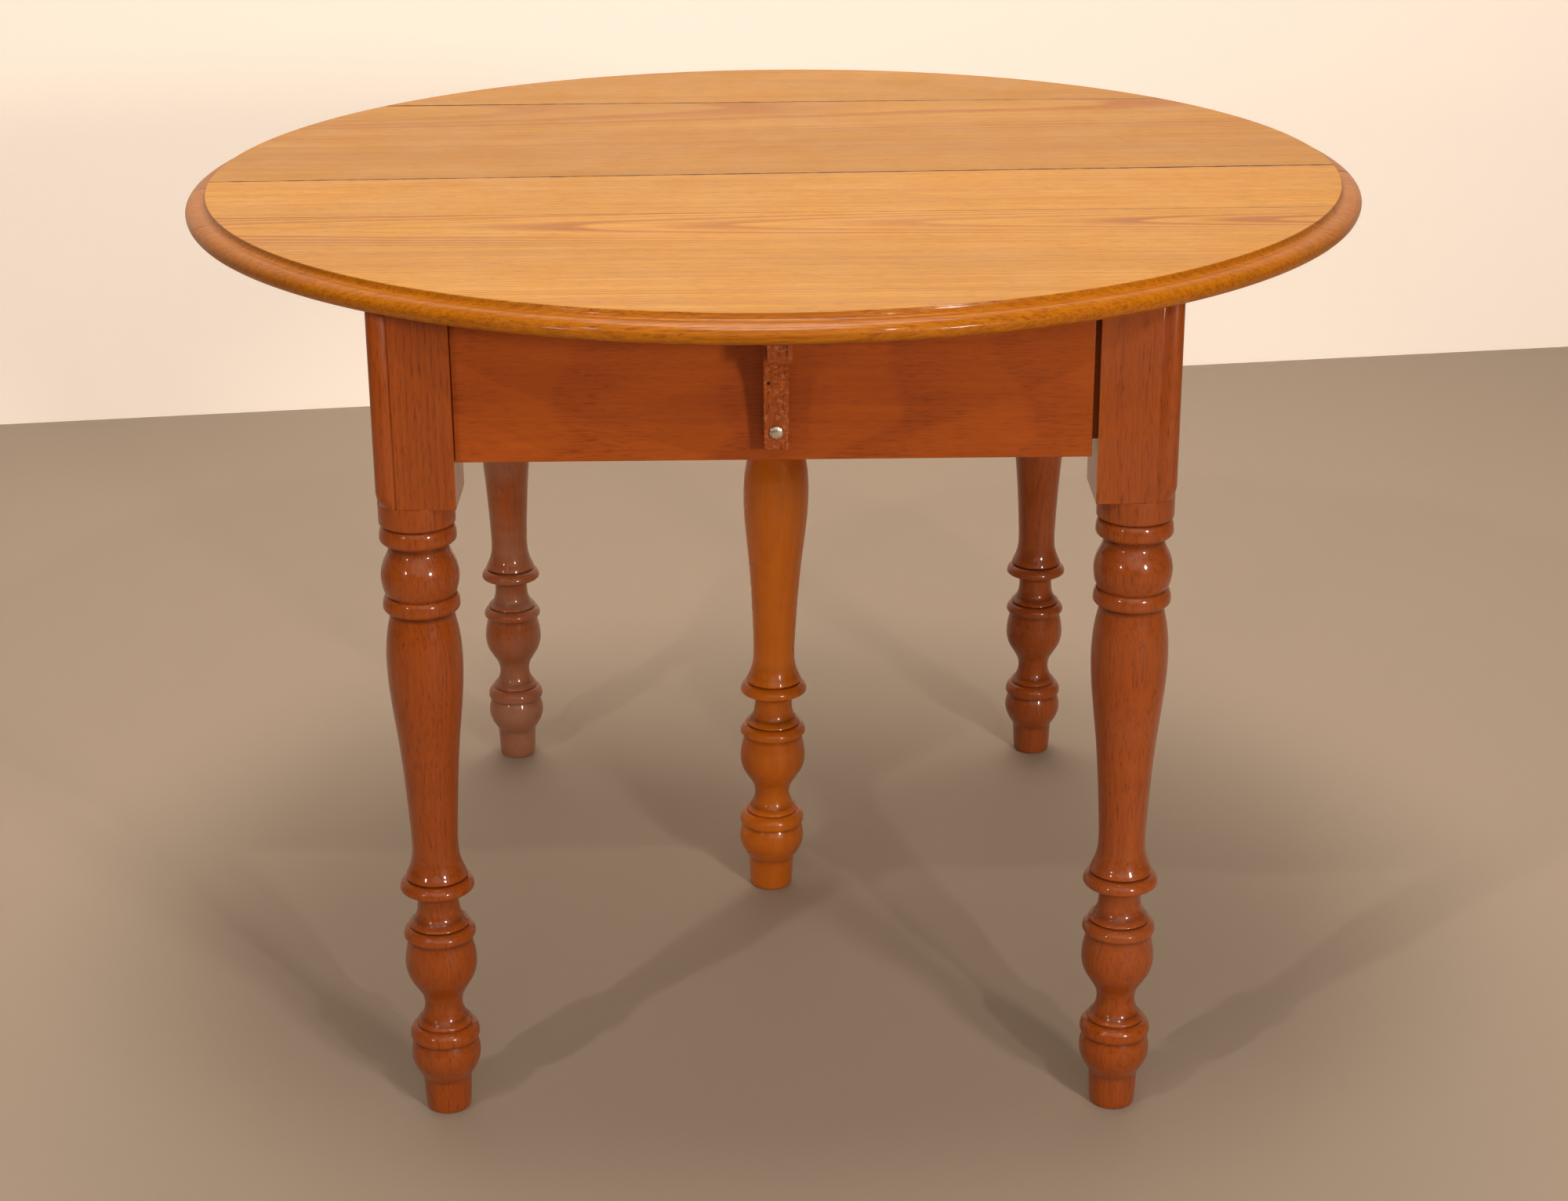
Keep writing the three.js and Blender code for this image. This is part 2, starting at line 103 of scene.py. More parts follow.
def smooth_shading(mesh, sharp_degrees=32):
    """Shades a mesh smooth, keeping its broad flat faces and the edges sharper than an angle."""
    broad = 4 * MM
    for face in mesh.faces:
        narrowest = min(edge.calc_length() for edge in face.edges)
        face.smooth = len(face.verts) <= 4 and narrowest < broad
    for edge in mesh.edges:
        if edge.is_manifold:
            edge.smooth = edge.calc_face_angle(0.0) < math.radians(sharp_degrees)


body_of = {
    node: body
    for body, members in frame["record"]["behaviour"]["bodies"].items()
    for node in members
}


def stand_for(node, mesh, name, material):
    """Makes a finished mesh the visible piece for one piece of the frame."""
    data = bpy.data.meshes.new(name)
    mesh.to_mesh(data)
    mesh.free()
    data.materials.append(material)
    piece = bpy.data.objects.new(name, data)
    bpy.context.scene.collection.objects.link(piece)
    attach(piece, body_of[node])
    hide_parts(node)
    return piece


def rim_outline():
    """Half of the top's section, from the axis under the board round the moulding to the axis above."""
    middle_z = underside_z + round_height / 2
    reach_below, reach_above = 7 * MM, 13 * MM
    lower = arc_points((rim_radius - reach_below, middle_z), (reach_below, round_height / 2), -90, 0, 10)
    upper = arc_points((rim_radius - reach_above, middle_z), (reach_above, round_height / 2), 0, 88, 14)[1:]
    hollow_centre = (field_radius + 5.4 * MM, top_z - 0.7 * MM)
    hollow_width, hollow_depth = 4.9 * MM, 5.2 * MM
    hollow = arc_points(hollow_centre, (hollow_width, hollow_depth), -90, -176, 9)
    arris = [
        (field_radius + 0.35 * MM, top_z - 0.35 * MM),
        (field_radius, top_z - 0.06 * MM),
        (field_radius - 0.6 * MM, top_z),
    ]
    return [(0.0, underside_z), *lower, *upper, *hollow, *arris, (0.0, top_z)]


def whole_flats(mesh):
    """Makes each flat face of a mesh one face."""
    bmesh.ops.dissolve_limit(
        mesh, angle_limit=math.radians(0.3), verts=mesh.verts, edges=mesh.edges,
        use_dissolve_boundaries=False,
    )


def saw_and_plane(mesh, middle, slope, keep_back):
    """Saws a mesh across by the upright plane y = middle + slope * x and eases the cut's long edges."""
    normal = Vector((-slope, 1, 0)).normalized()
    cut = bmesh.ops.bisect_plane(
        mesh, geom=mesh.verts[:] + mesh.edges[:] + mesh.faces[:], dist=1e-7,
        plane_co=(0, middle, 0), plane_no=normal,
        clear_inner=keep_back, clear_outer=not keep_back,
    )
    rim = [item for item in cut["geom_cut"] if isinstance(item, bmesh.types.BMEdge)]
    bmesh.ops.edgeloop_fill(mesh, edges=rim)
    shortest_eased = 100 * MM
    long_edges = [edge for edge in rim if edge.is_valid and edge.calc_length() > shortest_eased]
    bmesh.ops.bevel(
        mesh, geom=long_edges, offset=0.5 * MM, offset_type="OFFSET", segments=3, profile=0.5,
        affect="EDGES", clamp_overlap=False, material=-1,
    )
    bmesh.ops.recalc_face_normals(mesh, faces=mesh.faces)


# Each joint as (middle, slope) of the line y = middle + slope * x, in metres.
seam_front = (-23.0 * MM, 0.0212)
seam_back = (-22.0 * MM, 0.0222)
rear_joint_front = (325.1 * MM, -0.0046)
rear_joint_back = (326.0 * MM, -0.0066)
glue_front = (-182.15 * MM, 0.0)
glue_back = (-181.85 * MM, 0.0)

board_cuts = {
    "top_front_outer_board": (None, glue_front),
    "top_front_inner_board": (glue_back, seam_front),
    "top_back_inner_board": (seam_back, rear_joint_front),
    "top_back_outer_board": (rear_joint_back, None),
}


def add_node(tree, kind, inputs=None, **settings):
    """Adds a shader node; each input is a value or the socket that feeds it."""
    node = tree.nodes.new(kind)
    for name, value in settings.items():
        setattr(node, name, value)
    for name, value in (inputs or {}).items():
        if isinstance(value, bpy.types.NodeSocket):
            tree.links.new(value, node.inputs[name])
        else:
            node.inputs[name].default_value = value
    return node


def sum_up(tree, operation, *values):
    """One Math node; returns its result."""
    return add_node(tree, "ShaderNodeMath", dict(enumerate(values)), operation=operation).outputs[0]


def streaks(tree, place, along, across, detail=2.0, offset=0.0):
    """Noise drawn out along the grain: cells per metre along it and across it."""
    fresh_wood = (offset, offset * 1.7, offset * 2.3)
    stretched = add_node(
        tree, "ShaderNodeMapping",
        {"Vector": place, "Location": fresh_wood, "Scale": (along, across, across)},
    ).outputs[0]
    noise = add_node(tree, "ShaderNodeTexNoise", {"Vector": stretched, "Scale": 1.0, "Detail": detail})
    return noise.outputs[0]


def spread(tree, value, low, high):
    """Stretches a value so that low becomes 0 and high becomes 1, smoothly."""
    return add_node(
        tree, "ShaderNodeMapRange",
        {"Value": value, "From Min": low, "From Max": high},
        interpolation_type="SMOOTHSTEP",
    ).outputs[0]


def new_group(name, inputs, outputs):
    """An empty node group with float or vector sockets; returns it with its input and output nodes."""
    group = bpy.data.node_groups.new(name, "ShaderNodeTree")
    for socket, kind, value in inputs:
        made = group.interface.new_socket(name=socket, in_out="INPUT", socket_type=kind)
        made.default_value = value
    for socket, kind in outputs:
        group.interface.new_socket(name=socket, in_out="OUTPUT", socket_type=kind)
    return group, group.nodes.new("NodeGroupInput"), group.nodes.new("NodeGroupOutput")


# Oak is ring-porous. Its figure is the growth rings of a leaning tree cut by the board's face, with
# rows of open pores in each ring, long fibres and slow clouds of stain.
def grown_wood():
    """Growth rings, pores, fibres and clouds of one piece of wood, with the grain along the first axis."""
    number, vector = "NodeSocketFloat", "NodeSocketVector"
    tree, given, result = new_group(
        "grown wood",
        [
            ("Place", vector, (0.0, 0.0, 0.0)),
            ("Pith across", number, 0.0),
            ("Pith below", number, 0.06),
            ("Lean", number, 0.02),
            ("Ring", number, 0.004),
            ("Wander", number, 0.01),
        ],
        [("Rings", number), ("Pores", number), ("Fibres", number), ("Clouds", number)],
    )
    place = given.outputs["Place"]
    axes = add_node(tree, "ShaderNodeSeparateXYZ", {0: place})
    drift_a = sum_up(tree, "SUBTRACT", streaks(tree, place, 1.6, 7.0, 1.0), 0.5)
    drift_b = sum_up(tree, "SUBTRACT", streaks(tree, place, 2.1, 9.0, 1.0, 4.0), 0.5)
    ripple = sum_up(tree, "SUBTRACT", streaks(tree, place, 9.0, 55.0, 2.0, 9.0), 0.5)
    across = sum_up(tree, "SUBTRACT", axes.outputs[1], given.outputs["Pith across"])
    across = sum_up(tree, "MULTIPLY_ADD", drift_a, given.outputs["Wander"], across)
    below = sum_up(tree, "SUBTRACT", given.outputs["Pith below"], axes.outputs[2])
    below = sum_up(tree, "MULTIPLY_ADD", axes.outputs[0], given.outputs["Lean"], below)
    below = sum_up(tree, "MULTIPLY_ADD", drift_b, given.outputs["Wander"], below)
    squares = sum_up(
        tree, "ADD", sum_up(tree, "MULTIPLY", across, across), sum_up(tree, "MULTIPLY", below, below)
    )
    radius = sum_up(tree, "SQRT", squares)
    radius = sum_up(tree, "MULTIPLY_ADD", ripple, 1.6 * MM, radius)
    years = sum_up(tree, "DIVIDE", radius, given.outputs["Ring"])
    season = sum_up(tree, "FRACT", years)
    # Each year starts with a sharp dark band of spring wood that fades into the next.
    rising = spread(tree, season, 0.0, 0.12)
    falling = sum_up(tree, "SUBTRACT", 1.0, spread(tree, season, 0.14, 0.85))
    band = sum_up(tree, "MULTIPLY", rising, falling)
    year_strength = add_node(
        tree, "ShaderNodeTexNoise", {"W": years, "Scale": 0.37, "Detail": 1.0}, noise_dimensions="1D"
    ).outputs[0]
    rings = sum_up(tree, "MULTIPLY", band, spread(tree, year_strength, 0.22, 0.72))
    # Rings that the face cuts steeply lie close together and show less.
    steepness = sum_up(tree, "DIVIDE", sum_up(tree, "ABSOLUTE", across), radius)
    shown = sum_up(tree, "MULTIPLY_ADD", spread(tree, steepness, 0.55, 0.92), -0.62, 1.0)
    rings = sum_up(tree, "MULTIPLY", rings, shown)
    open_pores = spread(tree, streaks(tree, place, 75.0, 1050.0, 1.0, 2.0), 0.52, 0.68)
    long_pores = spread(tree, streaks(tree, place, 24.0, 520.0, 1.0, 6.0), 0.55, 0.72)
    pores = sum_up(tree, "MAXIMUM", open_pores, sum_up(tree, "MULTIPLY", long_pores, 0.55))
    pores = sum_up(tree, "MULTIPLY", pores, sum_up(tree, "MULTIPLY_ADD", band, 0.5, 0.5))
    links = tree.links
    links.new(rings, result.inputs["Rings"])
    links.new(pores, result.inputs["Pores"])
    links.new(streaks(tree, place, 5.0, 230.0, 3.0, 3.0), result.inputs["Fibres"])
    links.new(streaks(tree, place, 2.2, 8.0, 3.0, 8.0), result.inputs["Clouds"])
    return tree


wood_grain = grown_wood()

# Which object axis the grain runs along, then across the face, then into it.
GRAIN_ALONG_X = (0, 1, 2)
GRAIN_ALONG_X_UPRIGHT = (0, 2, 1)
GRAIN_ALONG_Y = (1, 0, 2)
GRAIN_ALONG_Y_UPRIGHT = (1, 2, 0)
GRAIN_UP = (2, 0, 1)


def mixed(tree, amount, first, second, blend="MIX"):
    """Blends two colours by an amount; returns the colour."""
    node = add_node(tree, "ShaderNodeMix", data_type="RGBA", blend_type=blend)
    # A Mix node keeps its two colours in its seventh and eighth sockets.
    for socket, value in ((0, amount), (6, first), (7, second)):
        if isinstance(value, bpy.types.NodeSocket):
            tree.links.new(value, node.inputs[socket])
        else:
            node.inputs[socket].default_value = value if socket == 0 else (*value, 1.0)
    return node.outputs[2]


class Finish:
    """One wood finish: a material with the grain's masks and a lacquer, ready for extra colour.

    The shift moves the piece into fresh wood. The pith is (across, below, lean, ring, wander): where the
    tree's middle lies, how it leans, how wide a year's growth is and how far it strays, in metres.
    """

    def __init__(self, name, grain, shift, pith, light, dark, pore, figure=1.0, grit=1.0, rim=None):
        self.material = bpy.data.materials.new(name)
        self.material.use_nodes = True
        self.tree = self.material.node_tree
        self.tree.nodes.clear()
        tree = self.tree
        self.place = add_node(tree, "ShaderNodeTexCoord").outputs["Object"]
        self.axes = add_node(tree, "ShaderNodeSeparateXYZ", {0: self.place})
        turned = add_node(
            tree, "ShaderNodeCombineXYZ", {i: self.axes.outputs[axis] for i, axis in enumerate(grain)}
        ).outputs[0]
        moved = add_node(tree, "ShaderNodeVectorMath", {0: turned, 1: shift}, operation="ADD").outputs[0]
        across, below, lean, ring, wander = pith
        grown = add_node(tree, "ShaderNodeGroup", node_tree=wood_grain)
        tree.links.new(moved, grown.inputs["Place"])
        for socket, value in zip(
            ("Pith across", "Pith below", "Lean", "Ring", "Wander"),
            (across + shift[1], below + shift[2], lean, ring, wander),
        ):
            grown.inputs[socket].default_value = value
        self.grown = grown
        self.pores = grown.outputs["Pores"]
        rings = sum_up(tree, "MULTIPLY", grown.outputs["Rings"], 0.85 * figure)
        if rim:
            # Past this radius from the Z axis the rings are steep and hardly show.
            flat = add_node(
                tree, "ShaderNodeCombineXYZ", {0: self.axes.outputs[0], 1: self.axes.outputs[1]}
            ).outputs[0]
            away = add_node(tree, "ShaderNodeVectorMath", {0: flat}, operation="LENGTH").outputs["Value"]
            self.on_rim = spread(tree, away, rim - 0.5 * MM, rim + 0.9 * MM)
            calm = sum_up(tree, "MULTIPLY_ADD", self.on_rim, -0.8, 1.0)
            rings = sum_up(tree, "MULTIPLY", rings, calm)
        clouds = spread(tree, grown.outputs["Clouds"], 0.25, 0.75)
        clouded = [channel * 0.86 for channel in light]
        colour = mixed(tree, clouds, light, clouded)
        colour = mixed(tree, rings, colour, dark)
        fibre = sum_up(tree, "MULTIPLY", spread(tree, grown.outputs["Fibres"], 0.35, 0.75), 0.35 * grit)
        colour = mixed(tree, fibre, colour, dark)
        self.colour = mixed(tree, sum_up(tree, "MULTIPLY", self.pores, 0.6 * grit), colour, pore)

    def shade(self, mask, colour, blend="MIX"):
        """Lays a colour over the wood where the mask says."""
        self.colour = mixed(self.tree, mask, self.colour, colour, blend)

    def lacquer(self, roughness, uneven, coat, coat_roughness, relief, shine=0.5):
        """Ends the material with its shader; uneven is how far roughness strays, relief the pores' depth."""
        tree = self.tree
        patchy = streaks(tree, self.place, 14.0, 14.0, 3.0, 5.0)
        rough = add_node(
            tree, "ShaderNodeMapRange",
            {"Value": patchy, "From Min": 0.3, "From Max": 0.7,
             "To Min": roughness - uneven, "To Max": roughness + uneven},
        ).outputs[0]
        fibres = sum_up(tree, "MULTIPLY", self.grown.outputs["Fibres"], 0.4)
        height = sum_up(tree, "MULTIPLY_ADD", self.pores, -1.0, fibres)
        bump = add_node(tree, "ShaderNodeBump", {"Strength": 0.35, "Distance": relief, "Height": height})
        shader = add_node(
            tree, "ShaderNodeBsdfPrincipled",
            {"Base Color": self.colour, "Roughness": rough, "Normal": bump.outputs[0],
             "Coat Weight": coat, "Coat Roughness": coat_roughness, "Specular IOR Level": shine},
        )
        output = add_node(tree, "ShaderNodeOutputMaterial")
        tree.links.new(shader.outputs[0], output.inputs[0])
        return self.material


oak_light = (0.71, 0.335, 0.036)
oak_dark = (0.42, 0.135, 0.018)
oak_pore = (0.30, 0.088, 0.012)
# Painted shade for the rim moulding: it takes less light than the field.
rim_painted_shade = (0.76, 0.53, 0.13)
joint_dark = (0.055, 0.016, 0.005)
# For each board: its shift, its pith, how strong its figure is and how light its tone.
board_growth = {
    "top_front_outer_board": ((0.0, 0.0, 0.0), (-0.227, 0.042, -0.040, 0.0062, 0.010), 1.7, 1.01),
    "top_front_inner_board": ((3.1, 0.4, 0.7), (-0.46, 0.10, 0.008, 0.0052, 0.010), 1.1, 1.0),
    "top_back_inner_board": ((7.3, 1.9, 0.3), (0.30, 0.07, 0.02, 0.0060, 0.012), 1.0, 0.80),
    "top_back_outer_board": ((11.7, 2.6, 1.1), (0.75, 0.09, -0.01, 0.0060, 0.012), 1.0, 0.80),
}


def line_dirt():
    """A mask along a straight joint: dark old polish and dirt, broken up by noise."""
    number, vector = "NodeSocketFloat", "NodeSocketVector"
    tree, given, result = new_group(
        "joint dirt",
        [("Place", vector, (0.0, 0.0, 0.0)), ("Middle", number, 0.0), ("Slope", number, 0.0),
         ("Width", number, 0.001)],
        [("Mask", number)],
    )
    axes = add_node(tree, "ShaderNodeSeparateXYZ", {0: given.outputs["Place"]})
    line = sum_up(tree, "MULTIPLY_ADD", axes.outputs[0], given.outputs["Slope"], given.outputs["Middle"])
    away = sum_up(tree, "ABSOLUTE", sum_up(tree, "SUBTRACT", axes.outputs[1], line))
    ragged = spread(tree, streaks(tree, given.outputs["Place"], 60.0, 60.0, 3.0), 0.3, 0.7)
    reach = sum_up(tree, "MULTIPLY", given.outputs["Width"], sum_up(tree, "MULTIPLY_ADD", ragged, 1.5, 0.3))
    close = sum_up(tree, "SUBTRACT", 1.0, sum_up(tree, "DIVIDE", away, reach))
    mask = add_node(tree, "ShaderNodeClamp", {0: close}).outputs[0]
    tree.links.new(mask, result.inputs["Mask"])
    return tree


joint_dirt = line_dirt()


def top_oak(node, joints):
    """Golden lacquered oak for a top board, painted darker on the rim as shade, and dark along its joints.
    """
    shift, pith, figure, tone = board_growth[node]
    across, below, lean, ring, wander = pith
    # The pith is given below the board's top face.
    finish = Finish(
        f"golden oak {node}", GRAIN_ALONG_X, shift, (across, below + top_z, lean, ring, wander),
        [tone * value for value in oak_light], oak_dark, oak_pore, figure=figure, rim=field_radius,
    )
    tree = finish.tree
    broad = spread(tree, streaks(tree, finish.place, 1.1, 26.0, 2.0, shift[0]), 0.45, 0.72)
    finish.shade(sum_up(tree, "MULTIPLY", broad, 0.15), (0.66, 0.50, 0.34), "MULTIPLY")
    thin = spread(tree, streaks(tree, finish.place, 2.6, 170.0, 2.0, shift[0]), 0.50, 0.70)
    finish.shade(sum_up(tree, "MULTIPLY", thin, 0.11), (0.60, 0.44, 0.30), "MULTIPLY")
    # Painted shade: the moulding is painted darker and browner than the field, standing in for the lower
    # light on it.
    finish.shade(finish.on_rim, rim_painted_shade, "MULTIPLY")
    fine = spread(tree, streaks(tree, finish.place, 14.0, 480.0, 2.0, 3.0), 0.50, 0.66)
    fine = sum_up(tree, "MULTIPLY", fine, finish.on_rim)
    finish.shade(sum_up(tree, "MULTIPLY", fine, 0.38), (0.45, 0.30, 0.18), "MULTIPLY")
    near_top = spread(tree, finish.axes.outputs[2], top_z - 5 * MM, top_z - 2 * MM)
    worn = sum_up(tree, "MAXIMUM", near_top, sum_up(tree, "MULTIPLY", finish.on_rim, 0.8))
    for (middle, slope), width in joints:
        dirt = add_node(tree, "ShaderNodeGroup", node_tree=joint_dirt)
        tree.links.new(finish.place, dirt.inputs["Place"])
        dirt.inputs["Middle"].default_value = middle
        dirt.inputs["Slope"].default_value = slope
        dirt.inputs["Width"].default_value = width
        dark = sum_up(tree, "MULTIPLY", spread(tree, dirt.outputs[0], 0.0, 0.7), worn)
        finish.shade(dark, joint_dark)
    # The rim is handled and waxed most, and shines more than the field.
    coat = sum_up(tree, "MULTIPLY_ADD", finish.on_rim, 0.16, 0.08)
    return finish.lacquer(
        roughness=0.34, uneven=0.05, coat=coat, coat_roughness=0.06, relief=0.12 * MM, shine=0.12,
    )


glue_line, split_dirt, crack_dirt = 0.35 * MM, 1.7 * MM, 1.6 * MM
board_joints = {
    "top_front_outer_board": [(glue_front, glue_line)],
    "top_front_inner_board": [(glue_back, glue_line), (seam_front, split_dirt)],
    "top_back_inner_board": [(seam_back, split_dirt), (rear_joint_front, crack_dirt)],
    "top_back_outer_board": [(rear_joint_back, crack_dirt)],
}

disc = spun(rim_outline(), quarter_round_steps)
whole_flats(disc)
for node, (front_cut, back_cut) in board_cuts.items():
    board = disc.copy()
    if front_cut:
        saw_and_plane(board, *front_cut, keep_back=True)
    if back_cut:
        saw_and_plane(board, *back_cut, keep_back=False)
    smooth_shading(board)
    stand_for(node, board, node.replace("board", "plank"), top_oak(node, board_joints[node]))


# ---- Turned legs -------------------------------------------------------------------------
# Each leg is one oak blank, left square at the top for the mortises and turned below. The
# square's outer corner is worked as a bead between two grooves. The fifth is stouter, in maple.

leg_blocks = {
    "leg_front_left": (-1, -1),
    "leg_front_right": (1, -1),
    "leg_back_left": (-1, 1),
    "leg_back_right": (1, 1),
}
block_foot = 568 * MM
axis_from_inner_face = 36 * MM
quarter_leg_steps = 20


def curve_through(points, steps):
    """A smooth curve through (radius, height) points, with its end directions free."""
    ends = [points[0], *points, points[-1]]
    curve = [points[0]]
    for before, start, end, after in zip(ends, ends[1:], ends[2:], ends[3:]):
        for i in range(1, steps + 1):
            t = i / steps
            curve.append(tuple(
                0.5 * (2 * b + (c - a) * t + (2 * a - 5 * b + 4 * c - d) * t * t
                       + (3 * b - a - 3 * c + d) * t ** 3)
                for a, b, c, d in zip(before, start, end, after)
            ))
    return curve


def ring_points(low, high, root_below, widest, root_above, steps=7):
    """A ring around the leg, widest at three tenths of its height, with its own root on each side."""
    crest = low + 0.3 * (high - low)
    under = arc_points((root_below, crest), (widest - root_below, crest - low), -90, 0, steps)
    over = arc_points((root_above, crest), (widest - root_above, high - crest), 0, 90, steps)
    return under + over[1:]


def turned_outline():
    """The turning from the floor to the square part, as (radius, height) in millimetres."""
    return [
        (0, 0), (16.2, 0),
        *curve_through([(16.2, 0), (18.6, 0.9), (19.6, 3.5), (20.3, 14), (21, 30.5)], 4),
        *curve_through([(21.2, 32), (23.5, 36), (27, 42), (29.6, 49), (30.3, 55), (29.6, 61.5), (28, 66.5),
                        (27, 69)], 5),
        *ring_points(69.5, 83.5, 27, 30.3, 23.5),
        (23, 84),
        *curve_through([(24.3, 85.3), (23.6, 87), (20, 91), (17.5, 97), (16.5, 102.5), (17, 109),
                        (19.3, 115.3), (24.2, 123.5), (28.4, 131), (30.6, 139), (31, 146), (30.2, 154),
                        (28.8, 161), (27.6, 166), (27.5, 168)], 5),
        *ring_points(168.5, 180, 27.5, 31.2, 24),
        (22.6, 180.5),
        *curve_through([(26.2, 181.8), (25.3, 183.4), (21.5, 187), (19, 192.5), (18, 199), (17.8, 206),
                        (18.3, 211), (19, 212.6)], 5),
        *ring_points(213, 225.5, 20.5, 31.9, 24.8),
        (23.5, 226),
        *curve_through([(26.6, 227.5), (25.6, 230.5), (23.6, 235), (21.6, 241), (20.3, 248), (19.9, 258),
                        (20.2, 270), (21.3, 292), (23.3, 323.5), (25.8, 352.5), (29, 381), (31.2, 404),
                        (32, 424), (31.5, 440), (30, 453), (27.8, 464), (26.7, 471)], 6),
        *ring_points(471.6, 486, 26.6, 32.2, 28.8),
        *curve_through([(29, 486.6), (30.9, 491), (32.3, 498), (32.5, 504), (31.6, 510), (29.6, 516),
                        (27.4, 520.5), (25.6, 525), (24.8, 530.5)], 5),
        *ring_points(531, 547, 24.9, 32, 29),
        *curve_through([(29.4, 548), (31.2, 549), (31.8, 551), (31.8, 566), (31.5, 568)], 4),
    ]


def block_outline():
    """The square part's outline, its outer corner (+X, +Y) a bead between two quirks, in millimetres."""
    inner, outer, bead, quirk = -36, 30, 9.5, 2.0
    centre = outer - bead
    edge = centre - 8.4
    floor = outer - quirk
    return [
        (inner, inner), (outer, inner), (outer, edge),
        (outer - 0.3, edge + 0.3), (floor + 0.1, edge + 0.5), (floor, edge + 1.2),
        *arc_points((centre, centre), (bead, bead), -37, 127, 20),
        (edge + 1.2, floor), (edge + 0.5, floor + 0.1), (edge + 0.3, outer - 0.3),
        (edge, outer), (inner, outer),
    ]


def crevices(mesh, outline):
    """Marks how deep in a hollow of the turning each point lies, for the painted shade laid there."""
    reach, full_depth = 5.5, 1.8
    layer = mesh.verts.layers.float.new("crevice")
    depth_at = {}
    for radius, height in outline:
        near = [r for r, h in outline if abs(h - height) < reach]
        depth = (sum(near) / len(near) - radius) / full_depth
        depth_at[round(height, 2)] = max(0.0, min(1.0, depth))
    for vertex in mesh.verts:
        vertex[layer] = depth_at.get(round(vertex.co.z / MM, 2), 0.0)


def turned_leg(stoutness=None):
    """The turned part of a leg, open at the top; stoutness gives a factor for each height."""
    outline = turned_outline()
    if stoutness:
        outline = [(radius * stoutness(height), height) for radius, height in outline]
    mesh = spun([(radius * MM, height * MM) for radius, height in outline], quarter_leg_steps)
    crevices(mesh, outline)
    return mesh


def add_block(mesh, outline, levels):
    """Raises the square part on a turned leg's open top, with a ring of corners at each level."""
    opening = [edge for edge in mesh.edges if edge.is_boundary]
    corners = [mesh.verts.new((x * MM, y * MM, levels[0])) for x, y in outline]
    loop = [mesh.edges.new((a, b)) for a, b in zip(corners, corners[1:] + corners[:1])]
    bmesh.ops.bridge_loops(mesh, edges=opening + loop)
    for level, above in zip(levels, levels[1:]):
        grown = bmesh.ops.extrude_edge_only(mesh, edges=loop)["geom"]
        lifted = {item for item in grown if isinstance(item, bmesh.types.BMVert)}
        bmesh.ops.translate(mesh, verts=list(lifted), vec=(0, 0, above - level))
        loop = [
            item for item in grown
            if isinstance(item, bmesh.types.BMEdge) and lifted.issuperset(item.verts)
        ]
    bmesh.ops.edgeloop_fill(mesh, edges=[edge for edge in mesh.edges if edge.is_boundary])
    bmesh.ops.recalc_face_normals(mesh, faces=mesh.faces)


def carve_bead_end(mesh, corner_levels):
    """Slopes the bead in to the turning at its foot: (level, share of its projection kept) for each ring."""
    turned_radius = 32.5 * MM
    beside_bead = 10 * MM
    for vertex in mesh.verts:
        from_axis = math.hypot(vertex.co.x, vertex.co.y)
        if min(vertex.co.x, vertex.co.y) < beside_bead or from_axis < turned_radius:
            continue
        for level, kept in corner_levels:
            if abs(vertex.co.z - level) < 1e-5:
                reach = (turned_radius + (from_axis - turned_radius) * kept) / from_axis
                vertex.co.x *= reach
                vertex.co.y *= reach


def ease_edges(mesh, width, sharp_degrees=50, above=-1.0):
    """Rubs the sharp edges off a straight-sided part, above a height."""
    sharp = [
        edge for edge in mesh.edges
        if edge.is_manifold and edge.calc_face_angle(0.0) > math.radians(sharp_degrees)
        and min(vertex.co.z for vertex in edge.verts) > above
    ]
    bmesh.ops.bevel(
        mesh, geom=sharp, offset=width, offset_type="OFFSET", segments=2, profile=0.5,
        affect="EDGES", clamp_overlap=True, material=-1,
    )


leg_light = (0.385, 0.077, 0.0042)
leg_dark = (0.27, 0.047, 0.0045)
leg_pore = (0.14, 0.024, 0.003)
leg_dust = (0.43, 0.27, 0.19)
# Painted shade for the hollows of the turnings, not a colour of the wood.
hollow_shade_colour = (0.060, 0.012, 0.003)


def paint_hollow_shade(finish, amount):
    """Darkens a turning's hollows with painted shade, darker where they lie deeper, broken up by noise."""
    tree = finish.tree
    depth = add_node(tree, "ShaderNodeAttribute", attribute_name="crevice").outputs["Fac"]
    ragged = spread(tree, streaks(tree, finish.place, 45.0, 45.0, 3.0, 1.0), 0.25, 0.75)
    mask = sum_up(tree, "MULTIPLY", depth, sum_up(tree, "MULTIPLY_ADD", ragged, 0.5, 0.5))
    finish.shade(sum_up(tree, "MULTIPLY", mask, amount), hollow_shade_colour)


def leg_oak(name, shift, dust):
    """Red-brown lacquered oak with upright grain and painted shade in its hollows, under a film of dust."""
    finish = Finish(
        name, GRAIN_UP, shift, (0.19, 0.11, 0.006, 0.0036, 0.003),
        leg_light, leg_dark, leg_pore, figure=0.45, grit=1.2,
    )
    # Painted shade in the leg's hollows.
    paint_hollow_shade(finish, 0.8)
    lying = spread(finish.tree, streaks(finish.tree, finish.place, 5.0, 16.0, 3.0, 7.0), 0.2, 0.8)
    finish.shade(sum_up(finish.tree, "MULTIPLY", lying, dust), leg_dust)
    return finish.lacquer(
        roughness=0.34, uneven=0.05, coat=0.50, coat_roughness=0.035, relief=0.08 * MM, shine=0.16,
    )


